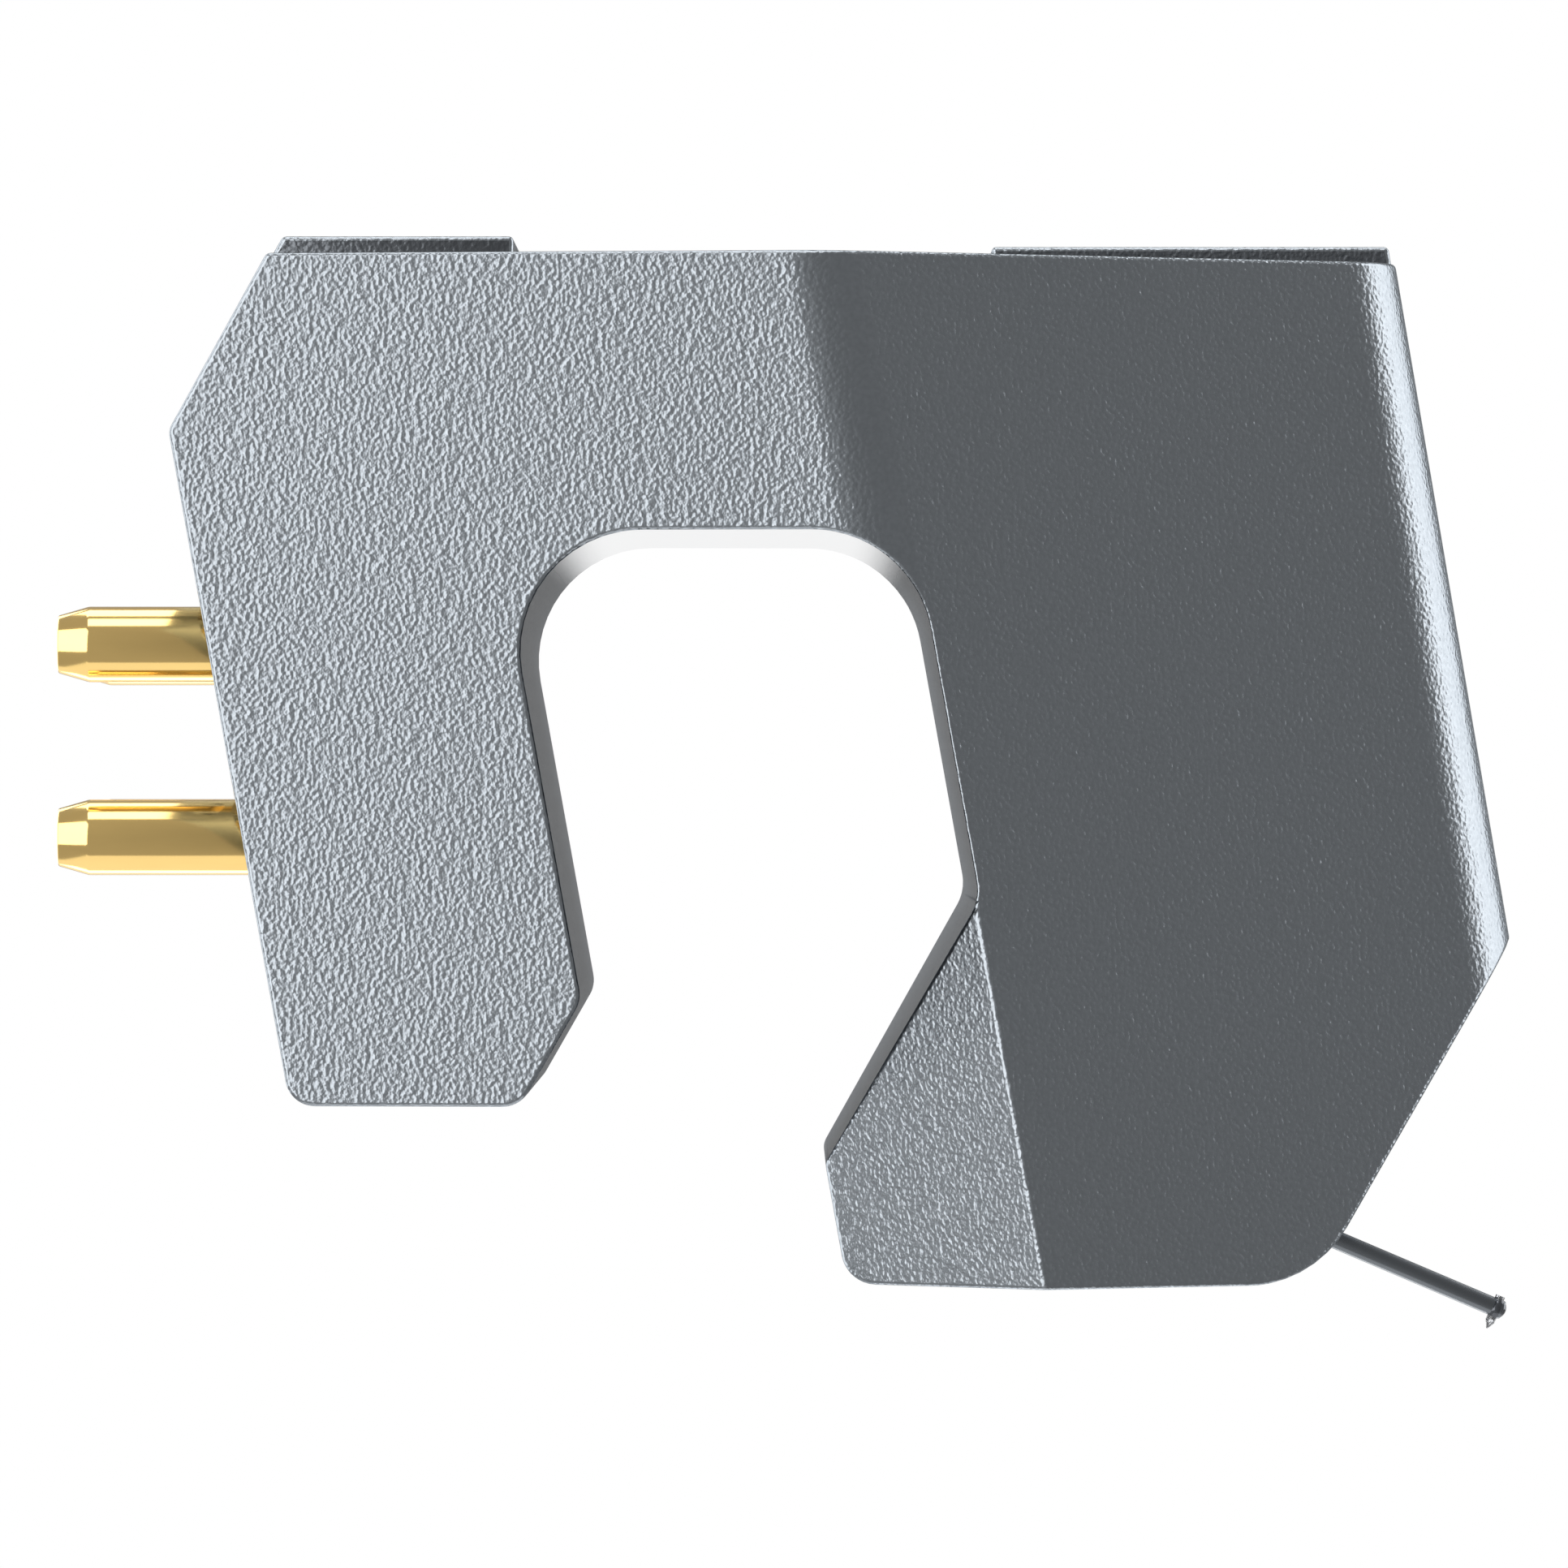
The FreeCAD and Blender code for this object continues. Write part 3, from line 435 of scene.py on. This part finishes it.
def isInnerWall(centre, normal):
    x, z = centre.x / mm, centre.z / mm
    low, high = bodyLook["innerFrom"], bodyLook["innerTo"]
    between = low[0] < x < high[0] and low[1] < z < high[1] and abs(centre.y) < bodyLook["innerReach"] * mm
    legEnd = normal.z < bodyLook["legEndSlope"] and z < bodyLook["legEndBelow"]
    return abs(normal.y) < bodyLook["wallSlope"] and between and not legEnd


def isPadSide(centre, normal):
    return centre.z > bodyLook["padFoot"] * mm and abs(normal.z) < bodyLook["padSlope"]


def fromBoreAxis(place):
    return (place - rodPivot).cross(rodAxis).length / mm


def isBoreWall(centre, normal):
    within = fromBoreAxis(centre) < bodyLook["boreRadius"]
    return within and abs(normal.dot(rodAxis)) < bodyLook["boreSlope"]


def isHoleEdge(middle, length):
    # edges of the mounting holes, the ducts and the bore stay sharp
    x, y, z = middle / mm
    if abs(y) > bodyLook["ductReach"]:
        low, high = bodyLook["mountReach"]
        around = abs(x) < bodyLook["mountFront"] and low < abs(y) < high
        return around and z > bodyLook["mountFoot"] and length < bodyLook["mountEdge"]
    within = x < bodyLook["ductFront"] or fromBoreAxis(middle) < bodyLook["boreMouth"]
    return within and z < bodyLook["ductTop"] and length < bodyLook["ductEdge"]


# the walls between the legs, the window's walls and the pads' sides take the inner wall material with its
# painted shade
def markWalls(body):
    for face in body.data.polygons:
        if isInnerWall(face.center, face.normal) or isPadSide(face.center, face.normal):
            face.material_index = paintedShadePlace
        elif isBoreWall(face.center, face.normal):
            face.material_index = borePlace
        else:
            face.material_index = blastedPlace


def breakEdges(body):
    # every other sharp edge is rounded a little
    mesh = bmesh.new()
    mesh.from_mesh(body.data)
    weight = mesh.edges.layers.float.new("bevel_weight_edge")
    for edge in mesh.edges:
        middle = (edge.verts[0].co + edge.verts[1].co) / 2
        sharp = edge.calc_face_angle(0) > math.radians(bodyLook["sharpAngle"])
        if sharp and not isHoleEdge(middle, edge.calc_length() / mm):
            edge[weight] = 1.0
    mesh.to_mesh(body.data)
    mesh.free()
    applyModifier(body, "BEVEL", width=bodyLook["edgeRound"] * mm, segments=bodyLook["roundSegments"],
                  limit_method="WEIGHT", use_clamp_overlap=False, loop_slide=False, material=blastedPlace)


def makeHousing():
    body = copyOfNode("housing", "bodyBlasted", bodyLook["mergeWithin"])
    for metal in bodyMetals:
        body.data.materials.append(metal)
    markWalls(body)
    breakEdges(body)
    cutThreads(body)
    shadeByAngle(body, bodyLook["smoothAngle"])
    flattenNormals(body)
    finishPiece(body, "housing", "body")
    return body


threadLook = {
    "minorRadius": 1.03,    # millimetres
    "majorRadius": 1.25,
    "pitch": 0.45,
    "depth": 3.2,
    "overshoot": 0.1,       # above the body's top
    "mouthRadius": 1.42,
    "crestFlat": 0.15,      # how much of the thread's form is cut off flat at its crest
    "around": 48,
    "levelsPerPitch": 8,
    "holeOffset": 6.35,
}


def makeTap(across):
    # the shape that a screw tap and a countersink leave behind
    look = threadLook
    deselectAll()
    bpy.ops.mesh.primitive_circle_add(vertices=look["around"], radius=look["minorRadius"] * mm,
                                      fill_type="NGON", location=(0, 0, -look["depth"] * mm))
    tap = bpy.context.active_object
    bpy.ops.object.transform_apply(location=True)
    levels = round(look["depth"] / look["pitch"] * look["levelsPerPitch"])
    step = (look["depth"] + look["overshoot"]) / levels * mm
    bpy.ops.object.mode_set(mode="EDIT")
    bpy.ops.mesh.select_all(action="SELECT")
    for level in range(levels):
        bpy.ops.mesh.extrude_region_move(TRANSFORM_OT_translate={"value": (0, 0, step)})
    bpy.ops.mesh.select_all(action="SELECT")
    bpy.ops.mesh.normals_make_consistent(inside=False)
    bpy.ops.object.mode_set(mode="OBJECT")
    flat = look["crestFlat"]
    for corner in tap.data.vertices:
        turn = math.atan2(corner.co.y, corner.co.x) / (2 * math.pi)
        phase = (corner.co.z / mm / look["pitch"] - turn) % 1
        groove = max(0.0, (1 + flat) * (1 - abs(2 * phase - 1)) - flat)
        radius = look["minorRadius"] + (look["majorRadius"] - look["minorRadius"]) * groove
        radius = max(radius, look["mouthRadius"] + corner.co.z / mm)
        corner.co.x *= radius / look["minorRadius"]
        corner.co.y *= radius / look["minorRadius"]
        corner.co.y += across * mm
    for metal in bodyMetals:
        tap.data.materials.append(metal)
    for face in tap.data.polygons:
        face.material_index = borePlace
    return tap


def cutThreads(body):
    for side in (-1, 1):
        tap = makeTap(side * threadLook["holeOffset"])
        applyModifier(body, "BOOLEAN", operation="DIFFERENCE", solver="EXACT", object=tap)
        bpy.data.objects.remove(tap)


bodyBlasted = makeHousing()
print("body made", len(bodyBlasted.data.polygons), "faces")

pinLook = {
    "tip": -13.96,          # millimetres, as all lengths here
    "tipRadius": 0.471,
    "shoulder": -13.46,
    "radius": 0.617,
    "shankRadius": 0.45,
    "stepRun": 0.001,       # how far the step to the shank runs
    "rows": {"upper": (-6.217, -11.082, -7.882), "lower": (-9.361, -10.517, -7.317)},   # z, step, tail
    "sides": {"left": 3.5, "right": -3.5},
    "around": 72,
    "edgeRound": 0.025,
    "roundSegments": 3,
    "roundAngle": 10,       # degrees
    "smoothAngle": 30,
}


def turnPiece(name, start, profile, around):
    # a ring is pushed along X and scaled at each step, as on a lathe; start is its y and z
    deselectAll()
    x, radius = profile[0]
    bpy.ops.mesh.primitive_circle_add(vertices=around, radius=radius * mm, fill_type="NGON",
                                      location=Vector((x, *start)) * mm, rotation=(0, math.pi / 2, 0))
    piece = bpy.context.active_object
    piece.name = name
    bpy.ops.object.transform_apply(location=True, rotation=True)
    bpy.ops.object.mode_set(mode="EDIT")
    bpy.ops.mesh.select_all(action="SELECT")
    for nextX, nextRadius in profile[1:]:
        bpy.ops.mesh.extrude_region_move(TRANSFORM_OT_translate={"value": ((nextX - x) * mm, 0, 0)})
        grow = nextRadius / radius
        bpy.ops.transform.resize(value=(1, grow, grow), center_override=Vector((nextX, *start)) * mm)
        x, radius = nextX, nextRadius
    bpy.ops.mesh.select_all(action="SELECT")
    bpy.ops.mesh.normals_make_consistent(inside=False)
    bpy.ops.object.mode_set(mode="OBJECT")
    return piece


def smoothTurned(piece, look):
    roundEdges(piece, look["edgeRound"], look["roundSegments"], look["roundAngle"])
    shadeByAngle(piece, look["smoothAngle"])
    flattenNormals(piece)


def makePin(row, side):
    look = pinLook
    z, step, tail = look["rows"][row]
    profile = [(look["tip"], look["tipRadius"]), (look["shoulder"], look["radius"]), (step, look["radius"]),
               (step + look["stepRun"], look["shankRadius"]), (tail, look["shankRadius"])]
    name = "pin" + row.capitalize() + side.capitalize()
    pin = turnPiece(name, (look["sides"][side], z), profile, look["around"])
    pin.data.materials.append(goldPlate)
    smoothTurned(pin, look)
    finishPiece(pin, f"contact_pin_{row}_{side}", "body")


for row in pinLook["rows"]:
    for side in pinLook["sides"]:
        makePin(row, side)
print("pins made")

rodLook = {
    "from": 0.4,            # millimetres from the pivot, as all places along the rod
    "to": 7.13,
    "radius": 0.155,
    "around": 48,
    "edgeRound": 0.03,
    "roundSegments": 3,
    "roundAngle": 30,       # degrees
    "smoothAngle": 30,
}


def tiltToRod(piece):
    # from lying along X at the origin to the rod's own place
    activate(piece)
    piece.rotation_euler = (0, math.atan2(-rodAxis.z, rodAxis.x), 0)
    piece.location = rodPivot
    bpy.ops.object.transform_apply(location=True, rotation=True)


def makeRod():
    profile = [(rodLook["from"], rodLook["radius"]), (rodLook["to"], rodLook["radius"])]
    rod = turnPiece("cantileverRod", (0, 0), profile, rodLook["around"])
    rod.data.materials.append(darkRod)
    smoothTurned(rod, rodLook)
    tiltToRod(rod)
    finishPiece(rod, "cantilever", "moving_system")


beadLook = {
    "at": 7.015,
    "size": (0.165, 0.172, 0.178),      # millimetres along the rod, across and square to it
    "around": 24,
    "rings": 14,
    "collarFacing": -0.93,      # faces that look down more than this make the collar
    "collarDrop": 0.05,
    "collarScale": (0.75, 0.75, 0.4),
    "collarFoot": -0.2,
    "smoothAngle": 60,      # degrees
}


def makeBead():
    # a drop over the rod's end that pulls down into a collar round the stylus
    look = beadLook
    deselectAll()
    bpy.ops.mesh.primitive_uv_sphere_add(segments=look["around"], ring_count=look["rings"], radius=mm,
                                         location=(look["at"] * mm, 0, 0))
    bead = bpy.context.active_object
    bead.name = "stylusBead"
    bead.scale = look["size"]
    bpy.ops.object.transform_apply(location=True, scale=True)
    bpy.ops.object.mode_set(mode="EDIT")
    bpy.ops.mesh.select_mode(type="FACE")
    bpy.ops.mesh.select_all(action="DESELECT")
    mesh = bmesh.from_edit_mesh(bead.data)
    for face in mesh.faces:
        face.select = face.normal.z < look["collarFacing"]
    bmesh.update_edit_mesh(bead.data)
    bpy.ops.mesh.extrude_region_move(TRANSFORM_OT_translate={"value": (0, 0, -look["collarDrop"] * mm)})
    bpy.ops.transform.resize(value=look["collarScale"],
                             center_override=(look["at"] * mm, 0, look["collarFoot"] * mm))
    bpy.ops.object.mode_set(mode="OBJECT")
    bead.data.materials.append(cementMaterial)
    applyModifier(bead, "SUBSURF", levels=1, render_levels=1)
    shadeByAngle(bead, look["smoothAngle"])
    tiltToRod(bead)
    finishPiece(bead, "stylus_cement", "moving_system")


makeRod()
makeBead()
print("rod and bead made")

# merged copies of the other pieces that show: node, round of the edges in millimetres, material, slot
shownPieces = {
    "grub_screw": (0.03, blackScrew, "screw_steel"),
    "front_yoke": (0.06, softIron, "soft_iron"),
    "armature": (0.02, softIron, "armature_iron"),
    "left_coils": (0.09, copperWinding, "copper_winding"),
    "right_coils": (0.09, copperWinding, "copper_winding"),
    "cantilever_sleeve": (0.0, sleeveMetal, "sleeve_metal"),
    "stylus": (0.0, gemMaterial, "diamond"),
}
bushDress = (0.06, bushPlastic, "insulator")
dressLook = {"roundSegments": 2, "roundAngle": 30, "smoothAngle": 32}       # angles in degrees
# pieces that no side shows keep their CAD shape and get a material
hiddenLooks = {
    "magnet": magnetMaterial, "rear_yoke": softIron, "suspension_pipe": steelMaterial,
    "suspension_wire": steelMaterial, "left_leads": copperWire, "right_leads": copperWire,
    "damper": damperRubber,
}
for node in frame["nodes"]:
    if node.startswith("pin_bush"):
        shownPieces[node] = bushDress


def camelName(node):
    words = node.split("_")
    return words[0] + "".join(word.capitalize() for word in words[1:])


def bodyOf(node):
    bodies = frame["record"]["behaviour"]["bodies"]
    return next(name for name, nodes in bodies.items() if node in nodes)


def dressNode(node, edgeRound, material, slot):
    piece = copyOfNode(node, camelName(node) + "Dressed")
    piece.data.materials.append(material)
    if edgeRound:
        roundEdges(piece, edgeRound, dressLook["roundSegments"], dressLook["roundAngle"])
    shadeByAngle(piece, dressLook["smoothAngle"])
    finishPiece(piece, node, bodyOf(node))


for node, dress in shownPieces.items():
    dressNode(node, *dress)
for node, look in hiddenLooks.items():
    slot = frame["nodes"][node].material_slots[0]
    slot.link = "OBJECT"
    slot.material = look
print("pieces dressed", len(shownPieces))


studio = {
    "cameraAt": (-2.135, -227.05, -8.492),      # millimetres, as the floor's lengths
    "lens": 314.9,
    "sensor": 36,
    "clip": (0.01, 10),     # metres
    "frontLevel": 0.42,     # what the metal sees straight behind the camera
    "sideLevel": 0.28,      # what it sees to the right
    "sideAim": (0.86, -0.5, 0.0),
    "sideEdge": (0.3, 0.8),
    "groundLevel": 1.0,     # the white sweep below and behind the part
    "coveAim": (0.0, 0.6, -0.8),
    "coveEdge": (0.76, 0.86),
    "backdropEdge": (0.972, 0.988),     # the white ground straight behind the part
    "floorDrop": 400.0,
    "floorSize": 500.0,
    "floorPaint": (0.9, 0.9, 0.9, 1),
    "floorRoughness": 0.9,
    "floorGlow": 0.8,       # the rest of the floor is plain paint, which keeps the part's shadow
}


def groundRays(tree):
    # first what sees the white ground itself, the camera and rays through glass; then mirrored rays
    path = addNode(tree, "ShaderNodeLightPath")
    direct = mathNode(tree, "MAXIMUM", path.outputs["Is Camera Ray"], path.outputs["Is Transmission Ray"])
    return direct, path.outputs["Is Glossy Ray"]


def makeWorld():
    world = bpy.data.worlds.new("studioWorld")
    scene.world = world
    world.use_nodes = True
    tree = world.node_tree
    background = tree.nodes["Background"]
    background.inputs["Strength"].default_value = 1.0
    direction = addNode(tree, "ShaderNodeTexCoord").outputs["Generated"]
    side = vectorNode(tree, "DOT_PRODUCT", direction, studio["sideAim"], output="Value")
    levels = (studio["frontLevel"], studio["sideLevel"])
    shade = rangeNode(tree, side, studio["sideEdge"], levels, kind="SMOOTHSTEP")
    below = vectorNode(tree, "DOT_PRODUCT", direction, studio["coveAim"], output="Value")
    cove = rangeNode(tree, below, studio["coveEdge"], kind="SMOOTHSTEP")
    parts = addNode(tree, "ShaderNodeSeparateXYZ")
    tree.links.new(direction, parts.inputs["Vector"])
    backdrop = rangeNode(tree, parts.outputs["Y"], studio["backdropEdge"], kind="SMOOTHSTEP")
    # metal shows the white ground where it is: below and behind the part
    white = mathNode(tree, "MAXIMUM", cove, backdrop)
    direct, mirrored = groundRays(tree)
    ground = mathNode(tree, "MAXIMUM", direct, mathNode(tree, "MULTIPLY", mirrored, white))
    groundColour = (studio["groundLevel"],) * 3 + (1,)
    tree.links.new(mixNode(tree, ground, shade, groundColour), background.inputs["Color"])


def makeCamera():
    camera = bpy.data.objects.new("camera", bpy.data.cameras.new("camera"))
    scene.collection.objects.link(camera)
    camera.location = Vector(studio["cameraAt"]) * mm
    camera.rotation_euler = (math.radians(90), 0, 0)
    camera.data.lens = studio["lens"]
    camera.data.sensor_width = studio["sensor"]
    camera.data.clip_start, camera.data.clip_end = studio["clip"]
    scene.camera = camera


def makeFloor():
    deselectAll()
    bpy.ops.mesh.primitive_plane_add(size=studio["floorSize"] * mm,
                                     location=(0, 0, -studio["floorDrop"] * mm))
    floor = bpy.context.active_object
    floor.name = "floor"
    material, tree, shader = newMaterial("paleFloor")
    setShader(tree, shader, {"Base Color": studio["floorPaint"], "Roughness": studio["floorRoughness"]})
    glow = addNode(tree, "ShaderNodeEmission", Color=(1, 1, 1, 1))
    direct, mirrored = groundRays(tree)
    seen = mathNode(tree, "MULTIPLY", mathNode(tree, "MAXIMUM", direct, mirrored), studio["floorGlow"])
    blend = addNode(tree, "ShaderNodeMixShader")
    for socket, source in zip(blend.inputs, (seen, shader.outputs["BSDF"], glow.outputs["Emission"])):
        tree.links.new(source, socket)
    tree.links.new(blend.outputs["Shader"], tree.nodes["Material Output"].inputs["Surface"])
    floor.data.materials.append(material)


softboxes = {
    # edges in degrees: azimuth to the right of the camera, elevation above the part
    "keyBox": dict(left=-78, right=-20, low=-22, high=45, radiance=2.05),
    "backBox": dict(left=-160, right=-102, low=-22, high=45, radiance=2.05),
    "rimSoft": dict(left=88, right=103, low=-12, high=45, radiance=1.1),
    "rimBox": dict(left=97, right=142, low=-12, high=45, radiance=2.2),
    "topFrontBox": dict(left=-40, right=40, low=58, high=84, radiance=2.4),
    "topBackBox": dict(left=135, right=225, low=52, high=84, radiance=2.4),
    "underBox": dict(left=140, right=220, low=-84, high=-40, radiance=2.2),
}
lampAim = (-1.5, 0, -8.0)   # millimetres
lampDistance = 1500.0


def addSoftbox(name, left, right, low, high, radiance):
    turn = math.radians((left + right) / 2)
    rise = math.radians((low + high) / 2)
    reach = lampDistance * mm
    away = Vector((math.sin(turn) * math.cos(rise), -math.cos(turn) * math.cos(rise), math.sin(rise)))
    lamp = bpy.data.lights.new(name, "AREA")
    lamp.shape = "RECTANGLE"
    lamp.size = 2 * reach * math.tan(math.radians(right - left) / 2) * math.cos(rise)
    lamp.size_y = 2 * reach * math.tan(math.radians(high - low) / 2)
    lamp.energy = radiance * math.pi * lamp.size * lamp.size_y
    box = bpy.data.objects.new(name, lamp)
    scene.collection.objects.link(box)
    box.location = Vector(lampAim) * mm + away * reach
    box.rotation_euler = away.to_track_quat("Z", "Y").to_euler()
    box.visible_camera = False


makeCamera()
makeWorld()
makeFloor()
for name, setting in softboxes.items():
    addSoftbox(name, **setting)
print("studio made")
